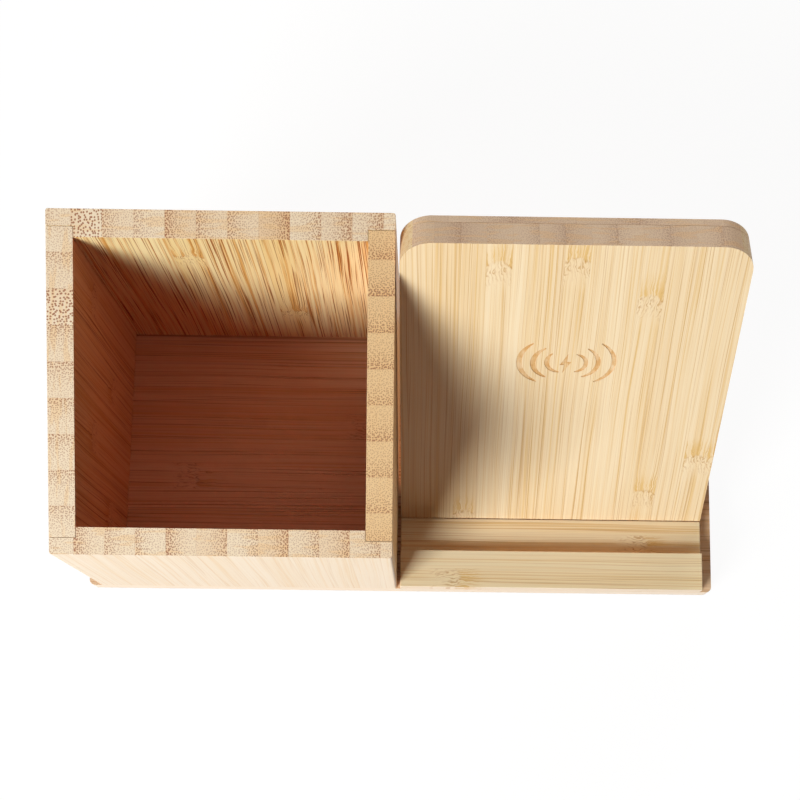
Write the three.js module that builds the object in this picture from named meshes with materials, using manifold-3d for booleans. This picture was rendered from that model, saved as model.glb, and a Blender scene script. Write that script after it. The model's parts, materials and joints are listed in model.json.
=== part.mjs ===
// Bamboo desk organiser: a square pen cup with a sloping rim, and beside it a charging board that
// leans back behind a phone ledge. Both stand on one long base board with four feet. The charging
// board is made of two layers: the electronics lie in a pocket that the thin back layer closes.
// Millimetres, +Z up, +X to the right, and the front looks along -Y.
// The origin is the middle of the footprint, at the level that the feet stand on.

import * as THREE from 'three';
import { mergeVertices } from 'three/addons/utils/BufferGeometryUtils.js';
import Module from 'manifold-3d';

const wasm = await Module();
wasm.setup();

// Pen cup
const cupWidth = 85;
const cupDepth = 81;
const wallThickness = 6.6;
const rimFrontHeight = 69; // above the base board
const rimBelowBoard = 3.4; // at the back, under the charging board's top edge
const rebateLap = 4; // outer layer of the front and back walls that covers the side walls' ends

// Base board
const baseThickness = 7;
const baseOverhang = 3.3; // past the cup on the left and past the charging board on the right
const baseCornerRadius = 1.6;

// Charging board
const cupToBoardGap = 1;
const boardWidth = 86.3;
const boardLength = 112.3; // up the front face
const boardThickness = 9.7; // both layers
const backPanelThickness = 2.3;
const boardCornerRadius = 8;
const boardLeanDegrees = 28.5; // back from upright

// Phone ledge
const ledgeDepth = 20.2; // from the front to the charging board's face, at the channel's floor
const lipDepth = 10.6;
const lipHeight = 5.5;
const channelHeight = 2.5;
const ledgeSeam = 0.3; // between the ledge and the charging board's foot, which is set back behind it

// Feet
const footRadius = 5;
const footHeight = 1.2;
const footInset = 12; // from the base board's edges to a foot's centre

// Clearances
const glueLine = 0.1;
const solderLine = 0.1;
const seatGap = 0.3; // between pieces that rest, slide or screw into each other
const overrun = 2; // how far a cutting shape runs past what it cuts

// Wood screws, driven up through the base board
const woodScrewLength = 15.5;
const woodScrewRadius = 1.25;
const woodScrewHeadRadius = 2.5;
const woodScrewHeadHeight = 1.5;
const woodScrewTipLength = 2.5;
const woodScrewCrossLength = 2.8;
const woodScrewCrossWidth = 0.6;
const woodScrewCrossDepth = 0.8;
const sideWallScrewShares = [0.25, 0.75]; // of the cup's depth
const boardScrewShares = [0.2, 0.8]; // of the charging board's width
const boardScrewDepthShare = 0.75; // of the charging board's footprint, from its front face

// Charging coil
const coilOuterRadius = 22;
const coilInnerRadius = 9;
const coilThickness = 1.2;
const coilHeightShare = 0.625; // of the charging board's length, from its foot to the coil's centre
const coilLeadSpacing = 8;
const coilLeadWidth = 1;
const coilLeadThickness = 0.3;
const coilLeadReach = 3; // over the circuit board
const ferriteMargin = 1; // past the coil
const ferriteThickness = 0.8;
const ferriteCornerRadius = 3;
const thermistorLength = 2.4;
const thermistorWidth = 1.6;
const thermistorHeight = 0.9;

// Circuit board
const circuitHeight = 20;
const circuitThickness = 0.8;
const circuitToCoilGap = 3.2;
const controllerSide = 5;
const controllerHeight = 0.9;
const bridgeChipLength = 6;
const bridgeChipWidth = 5;
const bridgeChipHeight = 1;
const capacitorLength = 3.2;
const capacitorWidth = 2.5;
const capacitorHeight = 2;
const inductorSide = 6.5;
const inductorHeight = 2.8;
const inductorCornerRadius = 1.2;
const controllerShares = [0.5, 0.34]; // places on the circuit board, across and up
const bridgeChipShares = [[0.66, 0.34], [0.8, 0.34]];
const capacitorShares = [[0.08, 0.76], [0.18, 0.76], [0.28, 0.76], [0.38, 0.76]];
const inductorShares = [0.26, 0.32];
const ledShares = [0.97, 0.86];
const ledLength = 1.6;
const ledWidth = 1.2;
const ledHeight = 1;

// Socket in the charging board's right edge
const shellWidth = 8.94;
const shellHeight = 3.2;
const shellLength = 7.35;
const shellWall = 0.3;
const shellCornerRadius = 1.3;
const tongueWidth = 6.7;
const tongueHeight = 0.7;
const tongueLength = 4.5;
const tongueRootLength = 1.6;
const bezelBorder = 1.1;
const bezelThickness = 1.2;
const bezelCornerRadius = 2;
const lightPipeRadius = 0.8;

// Pocket in the charging board's back, and the panel that closes it
const pocketClearance = 1.5; // round the circuit board and the ferrite sheet
const pocketHeadroom = 0.8; // above the socket's shell
const pocketCornerRadius = 3;
const pocketSideWood = 9.5; // left beside the pocket
const ventLength = 22;
const ventWidth = 1.6;
const ventPitch = 4.2;
const ventCount = 5;
const panelScrewLength = 6;
const panelScrewRadius = 0.9;
const panelScrewHeadRadius = 1.7;
const panelScrewHeadHeight = 0.9;
const panelScrewTipLength = 1;
const panelScrewCrossLength = 2;
const panelScrewCrossWidth = 0.45;
const panelScrewCrossDepth = 0.5;

// Roundness
const wideArcSegments = 12;
const smallArcSegments = 5;
const screwSegments = 20;
const footSegments = 48;
const coilSegments = 64;

// Heights and places that follow from the sizes above
const lean = THREE.MathUtils.degToRad(boardLeanDegrees);
const baseLength = baseOverhang + cupWidth + cupToBoardGap + boardWidth + baseOverhang;
const baseBottom = footHeight + glueLine;
const baseTop = baseBottom + baseThickness;
const standLevel = baseTop + glueLine;
const cupLeft = baseOverhang;
const boardLeft = cupLeft + cupWidth + cupToBoardGap;
const boardFootY = ledgeDepth - channelHeight * Math.tan(lean);
const rimBackHeight = boardLength * Math.cos(lean) - rimBelowBoard;
const screwStart = baseBottom + seatGap;

function bamboo(color) {
  return new THREE.MeshStandardMaterial({ color, roughness: 0.6, metalness: 0 });
}

function plastic(color, roughness) {
  return new THREE.MeshStandardMaterial({ color, roughness, metalness: 0 });
}

function metal(color, roughness) {
  return new THREE.MeshStandardMaterial({ color, roughness, metalness: 1 });
}

const group = new THREE.Group();

// Everything below is placed from the base board's front left corner.
const stand = new THREE.Group();
stand.position.set(-baseLength / 2, -cupDepth / 2, 0);
group.add(stand);

// The charging board's own frame: X across it, Y into its thickness and Z up its front face.
const leaning = new THREE.Group();
leaning.position.set(boardLeft, boardFootY, standLevel);
leaning.rotation.x = -lean;
stand.add(leaning);

function place(parent, name, geometry, material, x = 0, y = 0, z = 0) {
  const mesh = new THREE.Mesh(geometry, material);
  mesh.name = name;
  mesh.position.set(x, y, z);
  parent.add(mesh);
}

// A closed solid that can be joined and cut, from any closed geometry.
function solidOf(geometry) {
  const bare = geometry.clone();
  bare.deleteAttribute('normal');
  bare.deleteAttribute('uv');
  const merged = mergeVertices(bare);
  const index = merged.index.array;
  const corners = [];
  for (let i = 0; i < index.length; i += 3) {
    const [a, b, c] = index.slice(i, i + 3);
    if (a !== b && b !== c && c !== a) {
      corners.push(a, b, c);
    }
  }
  const mesh = new wasm.Mesh({
    numProp: 3,
    vertProperties: new Float32Array(merged.attributes.position.array),
    triVerts: new Uint32Array(corners),
  });
  return new wasm.Manifold(mesh);
}

function geometryOf(solid) {
  const mesh = solid.getMesh();
  const geometry = new THREE.BufferGeometry();
  geometry.setAttribute('position', new THREE.BufferAttribute(mesh.vertProperties, 3));
  geometry.setIndex(new THREE.BufferAttribute(mesh.triVerts, 1));
  geometry.computeVertexNormals();
  return geometry;
}

function cut(geometry, cutters) {
  let solid = solidOf(geometry);
  for (const cutter of cutters) {
    solid = solid.subtract(solidOf(cutter));
  }
  return geometryOf(solid);
}

// A box given by its lowest and highest corners.
function boxFrom([x0, y0, z0], [x1, y1, z1]) {
  const box = new THREE.BoxGeometry(x1 - x0, y1 - y0, z1 - z0);
  box.translate((x0 + x1) / 2, (y0 + y1) / 2, (z0 + z1) / 2);
  return box;
}

// A rectangle with round corners, centred on x, y.
function roundedRectangle(width, height, radius, x = 0, y = 0) {
  const right = x + width / 2 - radius;
  const left = x - width / 2 + radius;
  const top = y + height / 2 - radius;
  const bottom = y - height / 2 + radius;
  const shape = new THREE.Shape();
  shape.absarc(right, bottom, radius, -Math.PI / 2, 0);
  shape.absarc(right, top, radius, 0, Math.PI / 2);
  shape.absarc(left, top, radius, Math.PI / 2, Math.PI);
  shape.absarc(left, bottom, radius, Math.PI, Math.PI * 3 / 2);
  shape.closePath();
  return shape;
}

function polygon(points) {
  return new THREE.Shape(points.map(([x, y]) => new THREE.Vector2(x, y)));
}

// An outline drawn in X, Y and raised along Z.
function raised(shape, height, arcSegments = smallArcSegments) {
  return new THREE.ExtrudeGeometry(shape, {
    depth: height,
    bevelEnabled: false,
    curveSegments: arcSegments,
  });
}

// An outline drawn in Y, Z and run along X.
function runAlongX(shape, length, arcSegments = smallArcSegments) {
  const geometry = raised(shape, length, arcSegments);
  const turn = new THREE.Matrix4().makeBasis(
    new THREE.Vector3(0, 1, 0),
    new THREE.Vector3(0, 0, 1),
    new THREE.Vector3(1, 0, 0),
  );
  return geometry.applyMatrix4(turn);
}

// An outline drawn in X, Z and run along Y.
function runAlongY(shape, length, arcSegments = smallArcSegments) {
  const geometry = raised(shape, length, arcSegments);
  geometry.rotateX(Math.PI / 2);
  return geometry.translate(0, length, 0);
}

// A turned shape about Z, from a profile of radius and height that starts and ends on the axis.
function turned(profile, segments) {
  const points = profile.map(([radius, height]) => new THREE.Vector2(radius, height));
  return new THREE.LatheGeometry(points, segments).rotateX(Math.PI / 2);
}

const woodScrew = {
  length: woodScrewLength,
  radius: woodScrewRadius,
  headRadius: woodScrewHeadRadius,
  headHeight: woodScrewHeadHeight,
  tipLength: woodScrewTipLength,
  crossLength: woodScrewCrossLength,
  crossWidth: woodScrewCrossWidth,
  crossDepth: woodScrewCrossDepth,
};

const panelScrew = {
  length: panelScrewLength,
  radius: panelScrewRadius,
  headRadius: panelScrewHeadRadius,
  headHeight: panelScrewHeadHeight,
  tipLength: panelScrewTipLength,
  crossLength: panelScrewCrossLength,
  crossWidth: panelScrewCrossWidth,
  crossDepth: panelScrewCrossDepth,
};

// A countersunk screw along +Z, with its head's flat face at height zero and a cross recess in it.
function screwGeometry(screw) {
  const body = turned([
    [0, 0],
    [screw.headRadius, 0],
    [screw.radius, screw.headHeight],
    [screw.radius, screw.length - screw.tipLength],
    [0, screw.length],
  ], screwSegments);
  const half = screw.crossLength / 2;
  const halfWidth = screw.crossWidth / 2;
  return cut(body, [
    boxFrom([-half, -halfWidth, -overrun], [half, halfWidth, screw.crossDepth]),
    boxFrom([-halfWidth, -half, -overrun], [halfWidth, half, screw.crossDepth]),
  ]);
}

// The hole that such a screw sits in, open past its head.
function screwHole(screw) {
  return turned([
    [0, -overrun],
    [screw.headRadius + seatGap, -overrun],
    [screw.headRadius + seatGap, 0],
    [screw.radius + seatGap, screw.headHeight],
    [screw.radius + seatGap, screw.length - screw.tipLength],
    [0, screw.length + seatGap],
  ], screwSegments);
}

// Wood screws: two in each side wall, one in the front and back walls, two in the charging board.
const cupMiddleX = cupLeft + cupWidth / 2;
const wallScrewPlaces = [
  ...sideWallScrewShares.map((share) => [cupLeft + wallThickness / 2, cupDepth * share]),
  ...sideWallScrewShares.map((share) => [cupLeft + cupWidth - wallThickness / 2, cupDepth * share]),
  [cupMiddleX, wallThickness / 2],
  [cupMiddleX, cupDepth - wallThickness / 2],
];
const boardScrewY = boardFootY + boardScrewDepthShare * boardThickness / Math.cos(lean);
const boardScrewPlaces = boardScrewShares.map((share) => [boardLeft + boardWidth * share, boardScrewY]);
const woodScrewHoles = [...wallScrewPlaces, ...boardScrewPlaces].map(
  ([x, y]) => screwHole(woodScrew).translate(x, y, screwStart),
);

wallScrewPlaces.forEach(([x, y], i) => {
  place(stand, `wall_screw_${i + 1}`, screwGeometry(woodScrew), metal(0xb9b6ae, 0.35), x, y, screwStart);
});

boardScrewPlaces.forEach(([x, y], i) => {
  place(stand, `board_screw_${i + 1}`, screwGeometry(woodScrew), metal(0xb9b6ae, 0.35), x, y, screwStart);
});

// Base board
const basePlan = roundedRectangle(baseLength, cupDepth, baseCornerRadius, baseLength / 2, cupDepth / 2);
const basePlate = raised(basePlan, baseThickness, wideArcSegments).translate(0, 0, baseBottom);
place(stand, 'base_board', cut(basePlate, woodScrewHoles), bamboo(0xdcae74));

// Feet
const footXs = [footInset, baseLength - footInset];
const footYs = [footInset, cupDepth - footInset];
const footPlaces = footYs.flatMap((y) => footXs.map((x) => [x, y]));
footPlaces.forEach(([x, y], i) => {
  const foot = turned([[0, 0], [footRadius, 0], [footRadius, footHeight], [0, footHeight]], footSegments);
  place(stand, `foot_${i + 1}`, foot, plastic(0x2b2b2b, 0.85), x, y, 0);
});

// Cup walls: the front and back walls are rebated over the ends of the side walls.
function rimAt(y) {
  return standLevel + rimFrontHeight + (rimBackHeight - rimFrontHeight) * y / cupDepth;
}

function wallSide(yFrom, yTo) {
  return polygon([
    [yFrom, standLevel],
    [yTo, standLevel],
    [yTo, rimAt(yTo)],
    [yFrom, rimAt(yFrom)],
  ]);
}

function rebatedWall(yFrom, yTo, rebateFrom, rebateTo) {
  const wall = runAlongX(wallSide(yFrom, yTo), cupWidth).translate(cupLeft, 0, 0);
  const roof = rimAt(cupDepth) + overrun;
  const leftEnd = boxFrom(
    [cupLeft - overrun, rebateFrom, baseTop - overrun],
    [cupLeft + wallThickness + glueLine, rebateTo, roof],
  );
  const rightEnd = boxFrom(
    [cupLeft + cupWidth - wallThickness - glueLine, rebateFrom, baseTop - overrun],
    [cupLeft + cupWidth + overrun, rebateTo, roof],
  );
  return cut(wall, [leftEnd, rightEnd, ...woodScrewHoles]);
}

function sideWall(x) {
  const shape = wallSide(rebateLap + glueLine, cupDepth - rebateLap - glueLine);
  return cut(runAlongX(shape, wallThickness).translate(x, 0, 0), woodScrewHoles);
}

const backInside = cupDepth - wallThickness;
const frontWall = rebatedWall(0, wallThickness, rebateLap, wallThickness + overrun);
const backWall = rebatedWall(backInside, cupDepth, backInside - overrun, cupDepth - rebateLap);
place(stand, 'cup_front_wall', frontWall, bamboo(0xe8c48e));
place(stand, 'cup_back_wall', backWall, bamboo(0xdfb981));
place(stand, 'cup_left_wall', sideWall(cupLeft), bamboo(0xd9ab70));
place(stand, 'cup_right_wall', sideWall(cupLeft + cupWidth - wallThickness), bamboo(0xdcb077));

// Phone ledge: a lip with a lower channel behind it, bevelled to lie along the charging board.
const ledgeSide = polygon([
  [0, standLevel],
  [boardFootY, standLevel],
  [ledgeDepth, standLevel + channelHeight],
  [lipDepth, standLevel + channelHeight],
  [lipDepth, standLevel + lipHeight],
  [0, standLevel + lipHeight],
]);
place(stand, 'phone_ledge', runAlongX(ledgeSide, boardWidth), bamboo(0xe2bb82), boardLeft, 0, 0);

// Layout inside the charging board, in its own frame
const boardMiddle = boardWidth / 2;
const coilHeight = boardLength * coilHeightShare;
const ferriteSide = 2 * (coilOuterRadius + ferriteMargin);
const ferriteBottom = coilHeight - ferriteSide / 2;
const circuitTop = ferriteBottom - circuitToCoilGap;
const circuitBottom = circuitTop - circuitHeight;
const pocketWidth = boardWidth - 2 * pocketSideWood;
const pocketTop = coilHeight + ferriteSide / 2 + pocketClearance;
const pocketBottom = circuitBottom - pocketClearance;
const pocketMiddle = (pocketTop + pocketBottom) / 2;
const pocketHeight = pocketTop - pocketBottom;
const circuitLeft = boardMiddle - pocketWidth / 2 + pocketClearance;
const circuitWidth = pocketWidth - 2 * pocketClearance;
const circuitRight = circuitLeft + circuitWidth;
const pocketDepth = seatGap + circuitThickness + solderLine + shellHeight + pocketHeadroom;
const backPanelFront = boardThickness - backPanelThickness;
const frontLayerBack = backPanelFront - glueLine;
const pocketFloor = frontLayerBack - pocketDepth;
const circuitFace = pocketFloor + seatGap + circuitThickness;
const partFace = circuitFace + solderLine;
const socketHeight = circuitBottom + circuitHeight / 2;
const shellMiddle = partFace + shellHeight / 2;
const bezelWidth = shellWidth + 2 * seatGap + 2 * bezelBorder;
const bezelHeight = shellHeight + 2 * seatGap + 2 * bezelBorder;
const bezelStart = boardWidth - bezelThickness;
const ledX = circuitLeft + circuitWidth * ledShares[0];
const ledZ = circuitBottom + circuitHeight * ledShares[1];
const lightPipeY = partFace + lightPipeRadius;

// A layer of the charging board between two depths: round top corners, and a foot that is cut level
function boardLayer(front, back) {
  const straight = boardLength - boardCornerRadius;
  const face = new THREE.Shape();
  face.moveTo(0, -overrun);
  face.lineTo(boardWidth, -overrun);
  face.absarc(boardWidth - boardCornerRadius, straight, boardCornerRadius, 0, Math.PI / 2);
  face.absarc(boardCornerRadius, straight, boardCornerRadius, Math.PI / 2, Math.PI);
  face.closePath();
  const side = polygon([
    [front, front * Math.tan(lean)],
    [back, back * Math.tan(lean)],
    [back, boardLength + overrun],
    [front, boardLength + overrun],
  ]);
  const slab = solidOf(runAlongY(face, back - front, wideArcSegments).translate(0, front, 0));
  const profile = solidOf(runAlongX(side, boardWidth + 2 * overrun).translate(-overrun, 0, 0));
  return geometryOf(slab.intersect(profile));
}

// The front layer's foot is set back behind the ledge.
function footCut() {
  return boxFrom(
    [-overrun, -overrun, -overrun],
    [boardWidth + overrun, ledgeSeam, channelHeight / Math.cos(lean) + ledgeSeam],
  );
}

function pocketCut() {
  const outline = roundedRectangle(pocketWidth, pocketHeight, pocketCornerRadius, boardMiddle, pocketMiddle);
  return runAlongY(outline, boardThickness - pocketFloor).translate(0, pocketFloor, 0);
}

// The bezel's recess runs across both layers.
function bezelRecess() {
  const recessWidth = bezelHeight + 2 * glueLine;
  const recessHeight = bezelWidth + 2 * glueLine;
  const outline = roundedRectangle(recessWidth, recessHeight, bezelCornerRadius, shellMiddle, socketHeight);
  const recess = runAlongX(outline, bezelThickness + glueLine + overrun);
  return recess.translate(bezelStart - glueLine, 0, 0);
}

function socketCuts() {
  const slotFrom = boardMiddle + pocketWidth / 2 - overrun;
  const halfSlot = shellWidth / 2 + seatGap;
  const slot = boxFrom(
    [slotFrom, pocketFloor, socketHeight - halfSlot],
    [boardWidth + overrun, partFace + shellHeight + seatGap, socketHeight + halfSlot],
  );
  const pipeHole = new THREE.CylinderGeometry(
    lightPipeRadius + seatGap,
    lightPipeRadius + seatGap,
    boardWidth + overrun - slotFrom,
    screwSegments,
  );
  pipeHole.rotateZ(Math.PI / 2);
  pipeHole.translate((boardWidth + overrun + slotFrom) / 2, lightPipeY, ledZ);
  return [slot, bezelRecess(), pipeHole];
}

// The wood screws' holes, turned into the charging board's own frame
function turnedScrewHoles() {
  leaning.updateMatrix();
  const toBoard = leaning.matrix.clone().invert();
  return boardScrewPlaces.map(
    ([x, y]) => screwHole(woodScrew).translate(x, y, screwStart).applyMatrix4(toBoard),
  );
}

// The back panel's screws stand in the wood beside the pocket's four corners.
const panelScrewXs = [pocketSideWood / 2, boardWidth - pocketSideWood / 2];
const panelScrewPlaces = [pocketBottom, pocketTop].flatMap((z) => panelScrewXs.map((x) => [x, z]));
const panelScrewHoles = panelScrewPlaces.map(([x, z]) => {
  const hole = screwHole(panelScrew).rotateX(Math.PI / 2);
  return hole.translate(x, boardThickness, z);
});

const frontLayer = cut(boardLayer(0, frontLayerBack), [
  footCut(),
  pocketCut(),
  ...socketCuts(),
  ...panelScrewHoles,
  ...turnedScrewHoles(),
]);
place(leaning, 'charging_board', frontLayer, bamboo(0xeccb94));

// Back panel: the charging board's thin second layer, with cooling slots behind the coil
function ventSlots() {
  const slots = [];
  for (let i = 0; i < ventCount; i += 1) {
    const z = coilHeight + (i - (ventCount - 1) / 2) * ventPitch;
    const outline = roundedRectangle(ventLength, ventWidth, ventWidth / 2, boardMiddle, z);
    const slot = runAlongY(outline, backPanelThickness + 2 * overrun);
    slots.push(slot.translate(0, backPanelFront - overrun, 0));
  }
  return slots;
}

const backPanel = cut(boardLayer(backPanelFront, boardThickness), [
  ...ventSlots(),
  bezelRecess(),
  ...panelScrewHoles,
  ...turnedScrewHoles(),
]);
place(leaning, 'back_panel', backPanel, bamboo(0xdfb67c));

panelScrewPlaces.forEach(([x, z], i) => {
  const screw = screwGeometry(panelScrew).rotateX(Math.PI / 2);
  place(leaning, `panel_screw_${i + 1}`, screw, metal(0x9a9a9c, 0.3), x, boardThickness, z);
});

// Coil with its two leads, and the ferrite sheet behind it
function coilWinding() {
  const ring = new THREE.LatheGeometry([
    new THREE.Vector2(coilInnerRadius, 0),
    new THREE.Vector2(coilOuterRadius, 0),
    new THREE.Vector2(coilOuterRadius, coilThickness),
    new THREE.Vector2(coilInnerRadius, coilThickness),
    new THREE.Vector2(coilInnerRadius, 0),
  ], coilSegments);
  const coilStart = pocketFloor + seatGap;
  ring.translate(boardMiddle, coilStart, coilHeight);
  let solid = solidOf(ring);
  const leadEnd = circuitTop - coilLeadReach;
  const leadStart = coilHeight - (coilOuterRadius + coilInnerRadius) / 2;
  for (const side of [-1, 1]) {
    const x = boardMiddle + side * coilLeadSpacing / 2;
    const lead = boxFrom(
      [x - coilLeadWidth / 2, partFace, leadEnd],
      [x + coilLeadWidth / 2, partFace + coilLeadThickness, leadStart],
    );
    solid = solid.add(solidOf(lead));
  }
  return geometryOf(solid);
}

const coilBack = pocketFloor + seatGap + coilThickness;
const ferriteOutline = roundedRectangle(ferriteSide, ferriteSide, ferriteCornerRadius, boardMiddle, coilHeight);
place(leaning, 'coil_winding', coilWinding(), metal(0xc0733a, 0.4));
place(leaning, 'ferrite_sheet', runAlongY(ferriteOutline, ferriteThickness), plastic(0x3a3a3d, 0.7),
  0, coilBack + seatGap, 0);
place(leaning, 'coil_thermistor',
  new THREE.BoxGeometry(thermistorLength, thermistorHeight, thermistorWidth), plastic(0x1d1d20, 0.4),
  boardMiddle, coilBack - thermistorHeight / 2, coilHeight);

// Circuit board: a tab on its right side carries the socket
function circuitBoard() {
  const halfTab = shellWidth / 2;
  const tabEnd = bezelStart - seatGap;
  const outline = polygon([
    [circuitLeft, circuitBottom],
    [circuitRight, circuitBottom],
    [circuitRight, socketHeight - halfTab],
    [tabEnd, socketHeight - halfTab],
    [tabEnd, socketHeight + halfTab],
    [circuitRight, socketHeight + halfTab],
    [circuitRight, circuitTop],
    [circuitLeft, circuitTop],
  ]);
  return runAlongY(outline, circuitThickness).translate(0, pocketFloor + seatGap, 0);
}

place(leaning, 'circuit_board', circuitBoard(), plastic(0x1f6b45, 0.45));

// A box-shaped electronic part soldered to the circuit board, at shares of its width and height
function mountPart(name, [shareX, shareZ], length, width, height, material) {
  place(leaning, name, new THREE.BoxGeometry(length, height, width), material,
    circuitLeft + circuitWidth * shareX, partFace + height / 2, circuitBottom + circuitHeight * shareZ);
}

mountPart('controller_chip', controllerShares, controllerSide, controllerSide, controllerHeight,
  plastic(0x1b1b1d, 0.5));
bridgeChipShares.forEach((shares, i) => {
  mountPart(`bridge_chip_${i + 1}`, shares, bridgeChipWidth, bridgeChipLength, bridgeChipHeight,
    plastic(0x1b1b1d, 0.5));
});
capacitorShares.forEach((shares, i) => {
  mountPart(`capacitor_${i + 1}`, shares, capacitorWidth, capacitorLength, capacitorHeight,
    plastic(0xb08a5a, 0.5));
});
mountPart('status_led', ledShares, ledLength, ledWidth, ledHeight, plastic(0xf2efe2, 0.3));

const inductorPlan = roundedRectangle(inductorSide, inductorSide, inductorCornerRadius,
  circuitLeft + circuitWidth * inductorShares[0], circuitBottom + circuitHeight * inductorShares[1]);
place(leaning, 'inductor', runAlongY(inductorPlan, inductorHeight), plastic(0x4a4a4e, 0.6),
  0, partFace, 0);

// Socket: a steel shell with a closed back, the contact tongue inside it, and a bezel round its mouth
function socketOutline(grow) {
  return roundedRectangle(shellHeight + 2 * grow, shellWidth + 2 * grow, shellCornerRadius + grow,
    shellMiddle, socketHeight);
}

const shellStart = boardWidth - shellLength;
const shellBody = runAlongX(socketOutline(0), shellLength).translate(shellStart, 0, 0);
const shellHollow = runAlongX(socketOutline(-shellWall), shellLength).translate(shellStart + shellWall, 0, 0);
place(leaning, 'usb_shell', cut(shellBody, [shellHollow]), metal(0xc9cacc, 0.3));

function usbTongue() {
  const rootEnd = shellStart + shellWall + seatGap + tongueRootLength;
  const halfRootHeight = shellHeight / 2 - shellWall - seatGap;
  const halfRootWidth = shellWidth / 2 - shellCornerRadius;
  const root = boxFrom(
    [shellStart + shellWall + seatGap, shellMiddle - halfRootHeight, socketHeight - halfRootWidth],
    [rootEnd, shellMiddle + halfRootHeight, socketHeight + halfRootWidth],
  );
  const blade = boxFrom(
    [rootEnd - tongueRootLength / 2, shellMiddle - tongueHeight / 2, socketHeight - tongueWidth / 2],
    [rootEnd + tongueLength, shellMiddle + tongueHeight / 2, socketHeight + tongueWidth / 2],
  );
  return geometryOf(solidOf(root).add(solidOf(blade)));
}

place(leaning, 'usb_tongue', usbTongue(), plastic(0x151515, 0.5));

const bezelOutline = roundedRectangle(bezelHeight, bezelWidth, bezelCornerRadius, shellMiddle, socketHeight);
const bezelPlate = runAlongX(bezelOutline, bezelThickness).translate(bezelStart, 0, 0);
const bezelMouth = runAlongX(socketOutline(seatGap), bezelThickness + 2 * overrun);
bezelMouth.translate(bezelStart - overrun, 0, 0);
place(leaning, 'port_bezel', cut(bezelPlate, [bezelMouth]), plastic(0x1c1c1f, 0.5));

// Light pipe from the status light to the charging board's right edge
const pipeStart = ledX + ledLength / 2 + seatGap;
const pipeLength = boardWidth - pipeStart;
const lightPipe = new THREE.CylinderGeometry(lightPipeRadius, lightPipeRadius, pipeLength, screwSegments);
lightPipe.rotateZ(Math.PI / 2);
place(leaning, 'light_pipe', lightPipe, plastic(0xf4f6f8, 0.15),
  pipeStart + pipeLength / 2, lightPipeY, ledZ);

export default group;
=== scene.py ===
import json
from math import cos, pi, radians, sin

import bmesh
import bpy
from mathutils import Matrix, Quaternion, Vector


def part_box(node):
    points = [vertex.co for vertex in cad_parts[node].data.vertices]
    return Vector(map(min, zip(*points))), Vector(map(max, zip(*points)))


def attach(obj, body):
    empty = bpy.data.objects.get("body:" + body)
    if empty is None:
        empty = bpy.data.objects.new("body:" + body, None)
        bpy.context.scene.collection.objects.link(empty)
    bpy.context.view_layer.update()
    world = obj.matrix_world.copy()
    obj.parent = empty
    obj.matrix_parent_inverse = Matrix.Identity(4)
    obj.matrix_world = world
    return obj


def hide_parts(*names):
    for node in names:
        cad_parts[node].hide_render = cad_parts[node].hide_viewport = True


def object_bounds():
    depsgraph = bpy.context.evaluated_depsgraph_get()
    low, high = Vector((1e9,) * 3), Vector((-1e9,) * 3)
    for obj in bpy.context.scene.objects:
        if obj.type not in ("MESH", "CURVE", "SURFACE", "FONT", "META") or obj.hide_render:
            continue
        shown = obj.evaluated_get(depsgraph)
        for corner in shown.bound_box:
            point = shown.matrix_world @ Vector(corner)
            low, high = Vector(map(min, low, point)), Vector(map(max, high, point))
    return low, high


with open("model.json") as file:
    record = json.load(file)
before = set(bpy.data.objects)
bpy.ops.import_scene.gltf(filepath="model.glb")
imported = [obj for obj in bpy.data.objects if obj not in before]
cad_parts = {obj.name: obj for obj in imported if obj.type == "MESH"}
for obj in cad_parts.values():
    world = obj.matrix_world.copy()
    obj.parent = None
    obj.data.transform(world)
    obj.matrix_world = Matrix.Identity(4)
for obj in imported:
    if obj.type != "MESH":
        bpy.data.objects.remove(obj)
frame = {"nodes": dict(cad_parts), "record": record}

mm = 0.001
toRight = Vector((1, 0, 0))
toBack = Vector((0, 1, 0))
up = Vector((0, 0, 1))
sharpAngle = radians(33)  # an edge is sharp where its faces turn by more
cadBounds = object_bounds()
scene = bpy.context.scene

# The charging board leans back. Its own directions are "rise" along its face and "into" its
# thickness, and boardFoot is its face's left corner, on the base board
boardLean = radians(28.5)
frontLayer = 7.3 * mm
rise = Vector((0, sin(boardLean), cos(boardLean)))
into = Vector((0, cos(boardLean), -sin(boardLean)))
boardLow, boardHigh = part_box("charging_board")
boardTop = Vector((boardLow.x, boardHigh.y, boardHigh.z)) - frontLayer * Vector((0, into.y, 0))
boardFoot = boardTop - rise * ((boardTop.z - boardLow.z) / rise.z)
boardWidth = boardHigh.x - boardLow.x

# The cup's inside: its middle, and half its width and depth in millimetres
insideLow = Vector((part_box("cup_left_wall")[1].x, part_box("cup_front_wall")[1].y))
insideHigh = Vector((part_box("cup_right_wall")[0].x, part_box("cup_back_wall")[0].y))
cupMiddle = (insideLow + insideHigh) / 2
cupHalf = (insideHigh - cupMiddle) / mm


def onBoard(across, height, depth=0):
    # a place on the charging board, in millimetres from its foot's left corner
    return boardFoot + Vector((across * mm, 0, 0)) + rise * (height * mm) + into * (depth * mm)


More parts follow.
